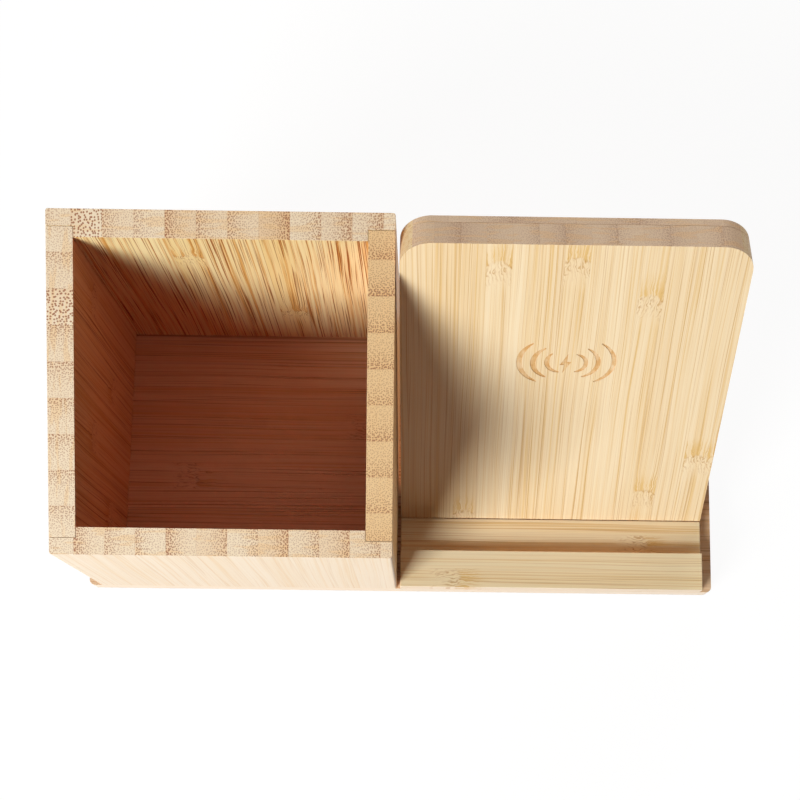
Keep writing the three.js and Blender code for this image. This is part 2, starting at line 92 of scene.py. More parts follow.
class Field:
    # one socket of a material, which can stand in a sum
    def __init__(self, shader, socket):
        self.shader = shader
        self.socket = socket

    def math(self, operation, *values):
        return self.shader.add("Math", {"operation": operation}, dict(enumerate(values)))

    def __add__(self, other):
        return self.math("ADD", self, other)

    def __radd__(self, other):
        return self.math("ADD", other, self)

    def __sub__(self, other):
        return self.math("SUBTRACT", self, other)

    def __rsub__(self, other):
        return self.math("SUBTRACT", other, self)

    def __mul__(self, other):
        return self.math("MULTIPLY", self, other)

    def __truediv__(self, other):
        return self.math("DIVIDE", self, other)

    def floor(self):
        return self.math("FLOOR", self)

    def fraction(self):
        return self.math("FRACT", self)

    def size(self):
        return self.math("ABSOLUTE", self)

    def reach(self, other):
        # the distance from the middle, from two distances at right angles
        return self.math("SQRT", self * self + other * other)

    def least(self, other):
        return self.math("MINIMUM", self, other)

    def most(self, other):
        return self.math("MAXIMUM", self, other)

    def share(self):
        # held between 0 and 1
        return self.most(0).least(1)

    def dot(self, axis):
        settings = {"operation": "DOT_PRODUCT"}
        return self.shader.add("VectorMath", settings, {0: self, 1: axis}, "Value")

    def step(self, low, high):
        # 0 below low, 1 above high, and smooth between them
        settings = {"interpolation_type": "SMOOTHSTEP"}
        inputs = {"Value": self, "From Min": low, "From Max": high}
        return self.shader.add("MapRange", settings, inputs)

    def blend(self, first, second, kind="MIX"):
        settings = {"data_type": "RGBA", "blend_type": kind, "clamp_factor": True}
        return self.shader.add("Mix", settings, {0: self, 6: first, 7: second}, 2)

    def also(self, output):
        return Field(self.shader, self.socket.node.outputs[output])


class Shader:
    def __init__(self, tree):
        self.tree = tree
        tree.nodes.clear()

    def add(self, kind, settings=None, inputs=None, output=0):
        node = self.tree.nodes.new("ShaderNode" + kind)
        for key, value in (settings or {}).items():
            if key == "stops":
                setStops(node.color_ramp, value)
            else:
                setattr(node, key, value)
        for key, value in (inputs or {}).items():
            socket = node.inputs[key]
            if isinstance(value, Field):
                self.tree.links.new(value.socket, socket)
            elif socket.type == "RGBA" and len(value) == 3:
                socket.default_value = (*value, 1)
            else:
                socket.default_value = value
        return Field(self, node.outputs[output]) if len(node.outputs) else None

    def vector(self, x, y, z):
        return self.add("CombineXYZ", None, {0: x, 1: y, 2: z})

    def place(self, *axes):
        # how far a point lies along each axis, in millimetres
        spot = self.add("TexCoord", None, None, "Object")
        return [spot.dot(axis / mm) for axis in axes]

    def noise(self, x, y, z, detail=2.0, roughness=0.5):
        inputs = {"Vector": self.vector(x, y, z), "Scale": 1.0, "Detail": detail,
                  "Roughness": roughness}
        return self.add("TexNoise", None, inputs)

    def cells(self, x, y):
        inputs = {"Vector": self.vector(x, y, 0), "Scale": 1.0, "Randomness": 0.8}
        return self.add("TexVoronoi", {"voronoi_dimensions": "2D"}, inputs)

    def bump(self, height, strength, distance):
        inputs = {"Height": height, "Strength": strength, "Distance": distance}
        return self.add("Bump", None, inputs)

    def principled(self, inputs):
        self.add("OutputMaterial", None, {"Surface": self.add("BsdfPrincipled", None, inputs)})


def setStops(ramp, stops):
    # each stop's values hold up to the next stop
    ramp.interpolation = "CONSTANT"
    while len(ramp.elements) < len(stops):
        ramp.elements.new(1)
    for element, (position, values) in zip(ramp.elements, stops):
        element.position = position
        element.color = values


def newMaterial(name):
    material = bpy.data.materials.new(name)
    material.use_nodes = True
    return material, Shader(material.node_tree)


# Bamboo strips glued side by side. A strip's width is "pitch", and the first begins at "start".
# Each has a row: its tone from pale to deep, the place of its knot as a share of "span" (over 0.95:
# none shows), the strength of its markings, and the side, 0 left or 1 right, at which its fibres
# crowd together
bamboo = {
    "pale": (0.92, 0.75, 0.48),
    "deep": (0.80, 0.57, 0.28),
    "gold": (0.77, 0.50, 0.16),
    "line": (0.55, 0.29, 0.07),
    "lineStrength": 0.9,
    "lineFrom": (0.55, 0.62),  # where the thin lines set in, in their noise
    "bandStrength": 0.6,
    "bandFrom": (0.47, 0.6),
    "grain": 1.0,  # how fine the streaks are
    "dash": 0.01,  # how short the thin lines are
    "seam": 0.025,  # the glued seam, as a share of a strip
    "seamStrength": 0.16,
    "endPale": (0.97, 0.80, 0.57),
    "endDeep": (0.82, 0.51, 0.24),
    "endGold": (0.93, 0.62, 0.30),
    "dot": (0.36, 0.13, 0.05),
    "dotStrength": 1.0,
    "smallDot": (0.16, 0.38),  # a dot's full and faded radius, as shares of its cell
    "largeDot": (0.23, 0.38),
    "endSeam": 0.02,
    "endSeamStrength": 0.12,
    "bounce": (0.86, 0.63, 0.56),  # light that the wood throws on is warmer than the wood looks
    "cupBounce": (0.80, 0.36, 0.34),  # and more so inside the cup
    "burn": (0.78, 0.57, 0.34),
    "roughness": 0.5,
}

# A knot, in millimetres along its strip, upwards from the jagged edge that marks it
knots = {
    "arch": 6,  # how far the edge curves over the strip's width
    "jag": 5,  # how ragged it is
    "edge": 0.55,  # how thick
    "reach": 9,  # how far away the fibres still bend
    "fringe": (-13, -4),  # the plain markings fade out here, below the edge
    "hairs": (-9, -3),  # and curved hairs set in here
    "hairBend": 3.2,
    "hairsPerMm": 1.1,
    "wedge": (1.5, 9),  # the gold wedge above the edge fades out here
    "absent": 500,  # a knot that doesn't show is this far off
}


def bambooFields(shader, wood):
    across, along, through = shader.place(wood["across"], wood["along"], wood["through"])
    across = across - wood["start"]
    along = along - wood["foot"]
    strip = (across / wood["pitch"]).floor()
    inStrip = (across / wood["pitch"]).fraction()
    rows = wood["rows"]
    stops = [(index / len(rows), row) for index, row in enumerate(rows)]
    values = shader.add("ValToRGB", {"stops": stops}, {0: (strip + 0.5) / len(rows)})
    tone = shader.add("SeparateColor", None, {0: values})
    row = (tone, tone.also(1), tone.also(2), values.also("Alpha"))
    return across, along, through, strip, inStrip, row


def warmBounce(shader, colour, look):
    x, y = shader.place(toRight, toBack)
    outAcross = (x - cupMiddle.x / mm).size().step(cupHalf.x + 1, cupHalf.x + 2)
    outDeep = (y - cupMiddle.y / mm).size().step(cupHalf.y + 1, cupHalf.y + 2)
    inCup = (1 - outAcross) * (1 - outDeep)
    scattered = shader.add("LightPath", None, None, "Is Diffuse Ray")
    bounce = inCup.blend(look["bounce"], look["cupBounce"])
    return scattered.blend(colour, bounce, "MULTIPLY")


def longGrain(name, wood, burnt=False):
    # the noises take cycles per millimetre across, along and through the wood
    look = {**bamboo, **wood.get("look", {})}
    material, shader = newMaterial(name)
    across, along, through, strip, inStrip, row = bambooFields(shader, wood)
    tone, knot, strength, side = row
    luck = shader.add("TexWhiteNoise", {"noise_dimensions": "1D"}, {"W": strip + wood["seed"]})
    away = along + luck * 900  # so far apart that no two strips are alike
    own = strip * 5.3 + wood["seed"]

    offset = inStrip - 0.5
    ripple = shader.noise(across * 0.9, along * 0.15, own, 2) - 0.5
    absent = knot.step(0.94, 0.96) * knots["absent"]
    arch = offset * offset * knots["arch"]
    above = along - knot * wood["span"] - absent + arch + ripple * knots["jag"]
    near = (1 - above.size() / knots["reach"]).most(0)
    below = 1 - above.step(-0.6, 0.2)
    fringe = above.step(*knots["fringe"]) * below
    swirl = shader.noise(across * 0.7, along * 0.3, own + 9, 2) - 0.5
    curl = above * above * 0.05 * (side - 0.5) + swirl * knots["hairBend"]
    hairs = ((across + curl) * knots["hairsPerMm"]).fraction() - 0.5
    hairs = hairs.size().step(0.2, 0.45) * (swirl * 3 + 0.6).share()
    hairs = hairs * above.step(*knots["hairs"]) * below
    wedge = above.step(-0.5, 0.4) * (1 - above.step(*knots["wedge"]))
    edge = (1 - (above / knots["edge"]).size()).most(0) * ripple.step(-0.1, 0.15)

    wander = shader.noise(across * 0.06, along * 0.011, own, 1) - 0.5
    bend = wander * 2.4 + swirl * near * 2.0 + offset * near * 1.2
    bent = (across + bend) * look["grain"]
    deepIn = through * look["grain"]
    broad = shader.noise(bent * 0.45, away * 0.005, deepIn * 0.3, 1)
    streak = shader.noise(bent * 1.3, away * 0.006, deepIn * 1.3 + 40, 4, 0.75)
    thread = shader.noise(bent * 3.2, away * look["dash"], deepIn * 3.2 + 80, 1)
    fine = shader.noise(bent * 6, away * 0.04, deepIn * 6, 2, 0.6)

    tint = (tone - 0.1) * 0.8 + (broad - 0.5) * 0.9 + (fine - 0.5) * 0.9
    colour = tint.share().blend(look["pale"], look["deep"])
    plain = 1 - fringe * 0.8
    bands = streak.step(*look["bandFrom"]) * (0.4 + broad.step(0.35, 0.6) * 0.6)
    colour = (bands * plain * look["bandStrength"]).blend(colour, look["gold"])
    colour = (wedge * streak.step(0.42, 0.56) * 0.75).blend(colour, look["gold"])
    lines = thread.step(*look["lineFrom"]) * (0.25 + streak.step(0.44, 0.58) * 0.75) * strength
    marks = lines * plain * look["lineStrength"] + (hairs * 0.7).most(edge * 0.75)
    colour = marks.least(1).blend(colour, look["line"])
    seam = 1 - inStrip.least(1 - inStrip).step(0.0, look["seam"])
    colour = (seam * look["seamStrength"]).blend(colour, look["line"])
    if burnt:
        scorch = shader.noise(across * 0.5, along * 0.4, through, 3).step(0.3, 0.65) * 0.6 + 0.4
        colour = scorch.blend(colour, look["burn"], "MULTIPLY")
    height = fine * 0.4 - lines * 0.5 - hairs * 0.5 - seam * 0.4
    shader.principled({
        "Base Color": warmBounce(shader, colour, look),
        "Roughness": look["roughness"] + (fine - 0.5) * 0.2 + (0.15 if burnt else 0.0),
        "Normal": shader.bump(height, 0.35, 0.05 * mm),
    })
    return material


def endGrain(name, wood):
    # the fibres' ends: dots everywhere, dark and close at one side of each strip, faint at the
    # other; in a strip of full strength they are large and dark all over
    look = {**bamboo, **wood.get("look", {})}
    material, shader = newMaterial(name)
    across, _, through, strip, inStrip, row = bambooFields(shader, wood)
    tone, _, strength, side = row
    crowding = side * inStrip + (1 - side) * (1 - inStrip)
    coarse = strength.step(0.85, 1.0)
    crowd = crowding * crowding * strength
    own = strip * 37.3 + wood["seed"] * 11
    grit = shader.noise(across * 3, through * 3, own, 3)
    patch = shader.noise(across * 0.12, through * 0.75, strip * 0.4, 1)
    jitter = (grit - 0.5) * 0.3
    small = shader.cells(across * 2.1 + own, through * 1.85 + jitter)
    large = shader.cells(across * 1.4 + own, through * 1.25 + jitter)
    smallDots = 1 - (small - crowd * 0.16).step(*look["smallDot"])
    largeDots = 1 - large.step(*look["largeDot"])
    dots = smallDots + coarse * (largeDots - smallDots)
    tint = tone * 0.75 + crowd * 0.45 + (grit - 0.5) * 0.5 - 0.2
    colour = tint.share().blend(look["endPale"], look["endDeep"])
    colour = (patch.step(0.52, 0.62) * 0.45).blend(colour, look["endGold"])
    depth = (0.38 + crowd * 0.8 + coarse * 0.5).least(0.95) * look["dotStrength"]
    colour = (dots * depth).blend(colour, look["dot"])
    seam = 1 - inStrip.least(1 - inStrip).step(0.0, look["endSeam"])
    colour = (seam * look["endSeamStrength"]).blend(colour, look["dot"])
    height = grit * 0.3 - dots * 0.6 - seam * 0.4
    shader.principled({
        "Base Color": warmBounce(shader, colour, look),
        "Roughness": look["roughness"] + 0.12 + (grit - 0.5) * 0.15,
        "Normal": shader.bump(height, 0.4, 0.06 * mm),
    })
    return material


def surfaceMaterial(name, look):
    # moulded, rolled or plated: a fine grain in the colour, the gloss and the surface
    material, shader = newMaterial(name)
    x, y, z = (distance * look["grain"] for distance in shader.place(toRight, toBack, up))
    speck = shader.noise(x, y, z, 3)
    cloud = shader.noise(x * 0.12, y * 0.12, z * 0.12)
    shade = (speck * 0.6 + cloud * 0.4).step(0.3, 0.75)
    inputs = {
        "Base Color": shade.blend(look["dark"], look["colour"]),
        "Roughness": look["roughness"] + (speck - 0.5) * 0.25,
        "Metallic": look.get("metallic", 0.0),
        "Normal": shader.bump(speck, 0.4, look["depth"] * mm),
    }
    if "glassy" in look:
        inputs["Transmission Weight"] = look["glassy"]
    shader.principled(inputs)
    return material


def evenShade(made):
    # flat faces stay flat to the eye right up to their rounded edges
    made.data.set_sharp_from_angle(angle=sharpAngle)
    even = made.modifiers.new("even", "WEIGHTED_NORMAL")
    even.keep_sharp = True
    even.weight = 100


def addPiece(piece, name, materials, node):
    mesh = bpy.data.meshes.new(name)
    piece.to_mesh(mesh)
    piece.free()
    mesh.shade_smooth()
    made = bpy.data.objects.new(name, mesh)
    scene.collection.objects.link(made)
    evenShade(made)
    for material in materials:
        mesh.materials.append(material)
    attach(made, "root")
    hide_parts(node)
    return made


def mergedCopy(node):
    piece = bmesh.new()
    piece.from_mesh(frame["nodes"][node].data)
    bmesh.ops.remove_doubles(piece, verts=piece.verts, dist=0.001 * mm)
    bmesh.ops.dissolve_limit(piece, angle_limit=radians(0.5), verts=piece.verts, edges=piece.edges)
    return piece


def roundEdges(piece, size, chosen, segments=3):
    edges = []
    for edge in piece.edges:
        if len(edge.link_faces) == 2 and edge.calc_face_angle() > sharpAngle and chosen(edge):
            edges.append(edge)
    bmesh.ops.bevel(piece, geom=edges, offset=size * mm, offset_type="OFFSET", affect="EDGES",
                    segments=segments, profile=0.5, material=-1, clamp_overlap=True)


woodScrews = [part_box(node) for node in frame["nodes"]
              if node.startswith(("wall_screw", "board_screw"))]


def nearScrew(point):
    # in a screw's hole, or a little above it
    around = 0.6 * mm
    above = 1 * mm
    for low, high in woodScrews:
        middle = (low + high) / 2
        reach = (high.x - low.x) / 2 + around
        if (point.xy - middle.xy).length < reach and point.z < high.z + above:
            return True
    return False


def middleOf(edge):
    return (edge.verts[0].co + edge.verts[1].co) / 2


def woodPiece(name, node, wood):
    # the CAD shape with its edges broken, and its end grain apart from its long grain
    piece = mergedCopy(node)
    low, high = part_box(node)
    skip = wood.get("skip", lambda point: False)
    if "corner" in wood:
        outside = low.y if wood["outside"] == "front" else high.y
        touching = 0.1 * mm

        def isCorner(edge):
            point = middleOf(edge)
            upright = abs((edge.verts[0].co - edge.verts[1].co).normalized().z) > 0.9
            fromSide = min(abs(point.x - low.x), abs(point.x - high.x))
            return upright and fromSide < touching and abs(point.y - outside) < touching
        roundEdges(piece, wood["corner"], isCorner, 4)

    def isOpen(edge):
        return not nearScrew(middleOf(edge)) and not skip(middleOf(edge))
    roundEdges(piece, wood["edge"], isOpen)
    piece.normal_update()
    for face in piece.faces:
        face.material_index = 1 if abs(face.normal.dot(wood["along"])) > 0.8 else 0
    materials = [longGrain(name + "_face", wood), endGrain(name + "_end", wood)]
    if "paintedLightFront" in wood:
        # the long edge at the front, with its corners, is paler than the rest: painted light, where
        # these faces look towards the lamp
        materials.append(longGrain(name + "_front", {**wood, "look": wood["paintedLightFront"]}))
        # faces turned to the front get the paler material, a painted highlight along the front
        frontEdge = low.y + 2 * mm
        for face in piece.faces:
            isEnd = face.material_index == 1
            toFront = face.normal.y < -0.3 and face.calc_center_median().y < frontEdge
            if toFront and not isEnd:
                face.material_index = 2
    return addPiece(piece, name, materials, node)


def makeCup():
    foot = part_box("cup_front_wall")[0].z / mm
    wall = {"along": up, "foot": foot, "edge": 0.06}
    wide = {**wall, "across": toRight, "through": toBack, "start": -87.64, "pitch": 7.6,
            "corner": 0.6}
    deep = {**wall, "across": toBack, "through": toRight, "pitch": 8.49}
    back = {
        "outside": "back", "span": 95.3, "seed": 11,
        "rows": [
            (0.35, 0.98, 0.5, 0), (0.15, 0.98, 1.0, 0), (0.45, 0.98, 0.6, 0),
            (0.3, 0.98, 0.5, 0), (0.75, 0.83, 0.8, 0), (0.55, 0.98, 0.6, 0),
            (0.55, 0.98, 0.6, 0), (1.0, 0.3, 0.8, 1), (0.35, 0.98, 0.6, 1),
            (0.45, 0.98, 0.9, 1), (0.35, 0.98, 0.9, 1), (0.3, 0.98, 0.6, 1)],
        "look": {"lineStrength": 2.0, "bandStrength": 1.0, "grain": 0.95, "dash": 0.02,
                 "pale": (0.98, 0.84, 0.46), "deep": (0.94, 0.71, 0.29),
                 "gold": (0.72, 0.37, 0.08), "line": (0.36, 0.11, 0.01)},
    }
    # the front wall is paler and more faintly marked than the other walls: partly its own paler
    # strips, partly painted light on its outer face, which faces the lamp
    front = {
        "outside": "front", "span": 69, "seed": 3,
        "rows": [
            (0.1, 0.98, 0.5, 0), (0.35, 0.98, 0.83, 0), (0.3, 0.98, 0.6, 0),
            (0.1, 0.98, 0.6, 0), (0.4, 0.98, 0.83, 0), (0.6, 0.98, 0.6, 1),
            (0.2, 0.98, 0.5, 1), (0.7, 0.98, 0.8, 1), (0.4, 0.98, 0.6, 1),
            (0.65, 0.98, 0.7, 1), (0.45, 0.98, 0.6, 1), (0.6, 0.98, 0.6, 1)],
        "look": {"lineStrength": 0.3, "bandStrength": 0.3, "pale": (0.92, 0.82, 0.64),
                 "deep": (0.88, 0.73, 0.51)},
    }
    # the left wall's darker, redder colours are painted shade: its inner face lies in shade
    left = {
        "start": -45.91, "span": 95.3, "seed": 23,
        "rows": [
            (0.2, 0.5, 0.5, 1), (0.2, 0.98, 0.55, 1), (0.2, 0.3, 0.6, 1),
            (0.25, 0.98, 0.6, 1), (0.3, 0.6, 0.6, 1), (0.35, 0.98, 0.6, 1),
            (0.35, 0.35, 0.6, 1), (0.2, 0.98, 1.0, 1), (0.4, 0.7, 0.5, 1),
            (0.3, 0.98, 0.4, 1), (0.1, 0.5, 0.2, 1)],
        "look": {"lineStrength": 1.3, "bandStrength": 0.9, "pale": (0.86, 0.60, 0.34),
                 "deep": (0.74, 0.44, 0.19), "gold": (0.66, 0.36, 0.10),
                 "line": (0.38, 0.15, 0.04)},
    }
    right = {
        "start": -46.69, "span": 95.3, "seed": 37,
        "rows": [
            (0.4, 0.5, 0.6, 0), (0.5, 0.98, 0.7, 0), (0.4, 0.4, 0.6, 0),
            (0.45, 0.98, 0.6, 0), (0.5, 0.7, 0.7, 0), (0.5, 0.98, 0.6, 0),
            (0.55, 0.3, 0.7, 0), (0.6, 0.98, 0.7, 0), (0.6, 0.6, 0.8, 0),
            (0.6, 0.98, 0.7, 0), (0.5, 0.5, 0.7, 0)],
        "look": {"endPale": (0.95, 0.67, 0.35), "endDeep": (0.80, 0.47, 0.19)},
    }
    woodPiece("cup_back_bamboo", "cup_back_wall", {**wide, **back})
    woodPiece("cup_front_bamboo", "cup_front_wall", {**wide, **front})
    woodPiece("cup_left_bamboo", "cup_left_wall", {**deep, **left})
    woodPiece("cup_right_bamboo", "cup_right_wall", {**deep, **right})
    print("cup made")


def makeBase():
    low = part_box("base_board")[0]
    wood = {
        "across": toBack, "along": toRight, "through": up, "start": low.y / mm - 2,
        "foot": low.x / mm, "span": 178.9, "pitch": 7.6, "edge": 0.4, "seed": 51,
        "rows": [
            # the first row is the front strip, where the lamp falls: it is kept palest and faintly
            # marked, painted lighter than the rows in shade
            (0.0, 0.98, 0.2, 0), (0.5, 0.25, 0.7, 1), (0.8, 0.8, 0.6, 0),
            (0.7, 0.98, 0.7, 1), (0.6, 0.17, 0.8, 0), (0.7, 0.98, 0.6, 1),
            (0.8, 0.45, 0.7, 0), (0.9, 0.98, 0.8, 1), (0.6, 0.98, 0.7, 0),
            (0.7, 0.7, 0.6, 1), (0.8, 0.98, 0.7, 0), (0.5, 0.5, 0.6, 1)],
        # the base's deeper, redder colours are partly painted shade, for its floor inside the cup
        # and its strip behind the ledge, which lie in shade
        "look": {"lineStrength": 1.2, "pale": (0.86, 0.64, 0.41), "deep": (0.72, 0.36, 0.14),
                 "gold": (0.66, 0.34, 0.10), "line": (0.36, 0.14, 0.04)},
        # the paler colours of the base's front faces are painted light
        "paintedLightFront": {"lineStrength": 0.35, "bandStrength": 0.35, "pale": (0.95, 0.85, 0.68),
                      "deep": (0.91, 0.77, 0.55)},
    }
    woodPiece("base_bamboo", "base_board", wood)
    print("base made")


def makeLedge():
    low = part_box("phone_ledge")[0]
    wood = {
        "across": toBack, "along": toRight, "through": up, "start": -45.8,
        "foot": low.x / mm, "span": 86.3, "pitch": 5.3, "edge": 0.2, "seed": 67,
        "rows": [
            (0.1, 0.98, 0.4, 0), (0.4, 0.2, 0.8, 1), (0.35, 0.98, 0.6, 0),
            (0.4, 0.82, 0.7, 0), (0.45, 0.98, 0.6, 1), (0.5, 0.98, 0.5, 0)],
        "look": {"lineStrength": 0.75, "grain": 1.6, "pale": (0.99, 0.86, 0.565),
                 "deep": (0.96, 0.735, 0.40), "bounce": (0.95, 0.8, 0.7)},
        # the paler colours of the ledge's front faces are painted light
        "paintedLightFront": {"lineStrength": 0.4, "bandStrength": 0.4, "pale": (0.99, 0.90, 0.73),
                      "deep": (0.95, 0.82, 0.60)},
    }
    woodPiece("ledge_bamboo", "phone_ledge", wood)
    print("ledge made")


# The charging pictogram: a bolt between three waves on each side, as burnt in by a laser.
# Its lengths are in millimetres on the charging board
pictogram = {
    "depth": 0.12,
    "headroom": 0.5,  # how far the cutter stands out of the face
    "waves": [  # middle across, middle up, radius, first and last angle, stroke
        (39.15, 70.6, 8.43, 125.7, 245.3, 1.4),
        (40.4, 70.25, 6.07, 118.1, 246.1, 1.4),
        (41.8, 70.6, 3.94, 128.6, 263.3, 1.15),
        (44.7, 70.2, 3.42, -80.3, 76.8, 1.1),
        (45.4, 70.5, 5.88, -71.4, 60.7, 1.2),
        (46.9, 70.7, 8.47, -64.6, 55.2, 1.2),
    ],
    "waveSteps": 24,
    "thinning": 0.75,  # the share of a wave's stroke that is gone at its tips
    "taper": 2.5,  # how late towards the tips it thins
    "boltMiddle": (42.85, 69.9),
    "bolt": [(0.5, 3.7), (-1.5, -0.5), (-0.35, -0.5), (-0.7, -3.7), (1.5, 0.7), (0.4, 0.7)],
}


def thicken(part, faces, depth):
    made = bmesh.ops.extrude_face_region(part, geom=faces)
    lowered = [item for item in made["geom"] if isinstance(item, bmesh.types.BMVert)]
    bmesh.ops.translate(part, verts=lowered, vec=(0, 0, -depth))


def addTo(whole, part):
    bmesh.ops.recalc_face_normals(part, faces=part.faces)
    mesh = bpy.data.meshes.new("part")
    part.to_mesh(mesh)
    part.free()
    whole.from_mesh(mesh)
    bpy.data.meshes.remove(mesh)


def pictogramCutter():
    # every stroke as a closed block that starts above the face and ends at the engraving's depth
    cutter = bmesh.new()
    headroom = pictogram["headroom"]
    blockDepth = headroom + pictogram["depth"]
    for middleAcross, middleUp, radius, first, last, stroke in pictogram["waves"]:
        wave = bmesh.new()
        sweep = radians(last - first)
        start = Vector((cos(radians(first)), sin(radians(first)), 0))
        radii = (radius - stroke / 2, radius + stroke / 2)
        ends = [wave.verts.new(start * reach) for reach in radii]
        edge = wave.edges.new(ends)
        bmesh.ops.spin(wave, geom=[edge, *ends], cent=(0, 0, 0), axis=up, dvec=(0, 0, 0),
                       angle=sweep, steps=pictogram["waveSteps"], use_merge=False,
                       use_duplicate=False)
        for vert in wave.verts:
            turned = -start.to_2d().angle_signed(vert.co.to_2d()) % (2 * pi)
            fromMiddle = abs(2 * min(1, turned / sweep) - 1)
            width = 1 - pictogram["thinning"] * fromMiddle ** pictogram["taper"]
            reach = vert.co.length
            vert.co *= (radius + (reach - radius) * width) / reach
        thicken(wave, wave.faces[:], blockDepth)
        bmesh.ops.translate(wave, verts=wave.verts, vec=(middleAcross, middleUp, headroom))
        addTo(cutter, wave)
    bolt = bmesh.new()
    middle = Vector((*pictogram["boltMiddle"], headroom))
    corners = [bolt.verts.new(middle + Vector((*place, 0))) for place in pictogram["bolt"]]
    thicken(bolt, [bolt.faces.new(corners)], blockDepth)
    addTo(cutter, bolt)
    for vert in cutter.verts:
        vert.co = onBoard(vert.co.x, vert.co.y, -vert.co.z)
    bmesh.ops.recalc_face_normals(cutter, faces=cutter.faces)
    return cutter


def engrave(board, material):
    cutter = pictogramCutter()
    mesh = bpy.data.meshes.new("pictogram")
    cutter.to_mesh(mesh)
    cutter.free()
    tool = bpy.data.objects.new("pictogram", mesh)
    scene.collection.objects.link(tool)
    board.modifiers.clear()
    cut = board.modifiers.new("pictogram", "BOOLEAN")
    cut.operation = "DIFFERENCE"
    cut.solver = "EXACT"
    cut.object = tool
    depsgraph = bpy.context.evaluated_depsgraph_get()
    evaluated = board.evaluated_get(depsgraph)
    result = bpy.data.meshes.new_from_object(evaluated, depsgraph=depsgraph)
    board.modifiers.clear()
    old = board.data
    board.data = result
    bpy.data.meshes.remove(old)
    bpy.data.objects.remove(tool)
    bpy.data.meshes.remove(mesh)
    result.materials.append(material)
    floorDepth = pictogram["depth"] * mm
    near = 0.01 * mm
    for face in result.polygons:
        depths = [(result.vertices[index].co - boardFoot).dot(into) for index in face.vertices]
        if floorDepth - near < max(depths) < floorDepth + near:
            face.material_index = len(result.materials) - 1
    evenShade(board)


def makeBoard():
    # edges inside the pocket, in millimetres into and up the board and from its sides, stay sharp
    pocket = {"into": (0.05, 7.2), "up": (3.4, 111), "side": 1}

    def inPocket(point):
        away = (point - boardFoot) / mm
        isInto = pocket["into"][0] < away.dot(into) < pocket["into"][1]
        isUp = pocket["up"][0] < away.dot(rise) < pocket["up"][1]
        return isInto and isUp and pocket["side"] < away.x < boardWidth / mm - pocket["side"]

    leaning = {"across": toRight, "along": rise, "through": into, "span": 120,
               "foot": boardFoot.dot(rise) / mm}
    front = {
        "start": boardFoot.x / mm - 4.19, "pitch": 6.34, "edge": 0.3, "seed": 5,
        "skip": inPocket,
        "rows": [
            (0.6, 0.98, 0.5, 0), (0.5, 0.98, 0.6, 0), (0.7, 0.98, 0.7, 1),
            (0.6, 0.056, 0.5, 0), (0.35, 0.885, 0.4, 0), (0.3, 0.98, 0.6, 1),
            (0.45, 0.98, 0.7, 1), (0.5, 0.9, 0.6, 0), (0.35, 0.98, 0.7, 1),
            (0.25, 0.98, 0.4, 0), (0.4, 0.793, 0.6, 1), (0.45, 0.143, 0.5, 0),
            (0.35, 0.98, 0.6, 1), (0.4, 0.275, 0.6, 0)],
        "look": {"grain": 1.3, "dotStrength": 0.5, "pale": (0.94, 0.79, 0.53),
                 "endPale": (0.94, 0.74, 0.53), "endDeep": (0.58, 0.37, 0.23),
                 "bounce": (0.9, 0.65, 0.55)},
    }
    back = {
        "start": boardFoot.x / mm - 3.9, "pitch": 15.6, "edge": 0.25, "seed": 71,
        "rows": [
            (0.5, 0.3, 0.6, 0), (0.4, 0.7, 0.7, 1), (0.6, 0.98, 0.6, 0),
            (0.5, 0.45, 0.7, 1), (0.4, 0.98, 0.6, 0), (0.55, 0.85, 0.7, 1)],
        "look": {"dotStrength": 0.5, "endPale": (0.94, 0.74, 0.53),
                 "endDeep": (0.60, 0.39, 0.25)},
    }
    board = woodPiece("charging_board_bamboo", "charging_board", {**leaning, **front})
    engraved = longGrain("charging_board_engraved", {**leaning, **front}, burnt=True)
    engrave(board, engraved)
    woodPiece("back_panel_bamboo", "back_panel", {**leaning, **back})
    print("charging board made")


# The small parts' finishes: "grain" is how fine the specks are, and "depth" how deep in millimetres
finishes = {
    "foot_rubber": {
        "colour": (0.035, 0.035, 0.037), "dark": (0.018, 0.018, 0.02), "roughness": 0.75,
        "grain": 5, "depth": 0.04},
    "screw_steel": {
        "colour": (0.66, 0.65, 0.62), "dark": (0.48, 0.47, 0.44), "roughness": 0.32,
        "grain": 3, "depth": 0.01, "metallic": 1.0},
    "bezel_plastic": {
        "colour": (0.025, 0.025, 0.027), "dark": (0.014, 0.014, 0.015), "roughness": 0.5,
        "grain": 6, "depth": 0.02},
    "ferrite": {
        "colour": (0.06, 0.06, 0.064), "dark": (0.03, 0.03, 0.032), "roughness": 0.6,
        "grain": 4, "depth": 0.02},
    "chip_resin": {
        "colour": (0.02, 0.02, 0.022), "dark": (0.011, 0.011, 0.012), "roughness": 0.5,
        "grain": 8, "depth": 0.01},
    "capacitor_ceramic": {
        "colour": (0.46, 0.29, 0.15), "dark": (0.3, 0.18, 0.09), "roughness": 0.5,
        "grain": 5, "depth": 0.01},
    "clear_plastic": {
        "colour": (0.9, 0.92, 0.93), "dark": (0.8, 0.83, 0.85), "roughness": 0.12,
        "grain": 1, "depth": 0.002, "glassy": 0.85},
    "socket_steel": {
        "colour": (0.74, 0.74, 0.75), "dark": (0.58, 0.58, 0.6), "roughness": 0.25,
        "grain": 3, "depth": 0.01, "metallic": 1.0},
    "solder": {
        "colour": (0.7, 0.7, 0.72), "dark": (0.5, 0.5, 0.52), "roughness": 0.3,
        "grain": 4, "depth": 0.02, "metallic": 1.0},
}

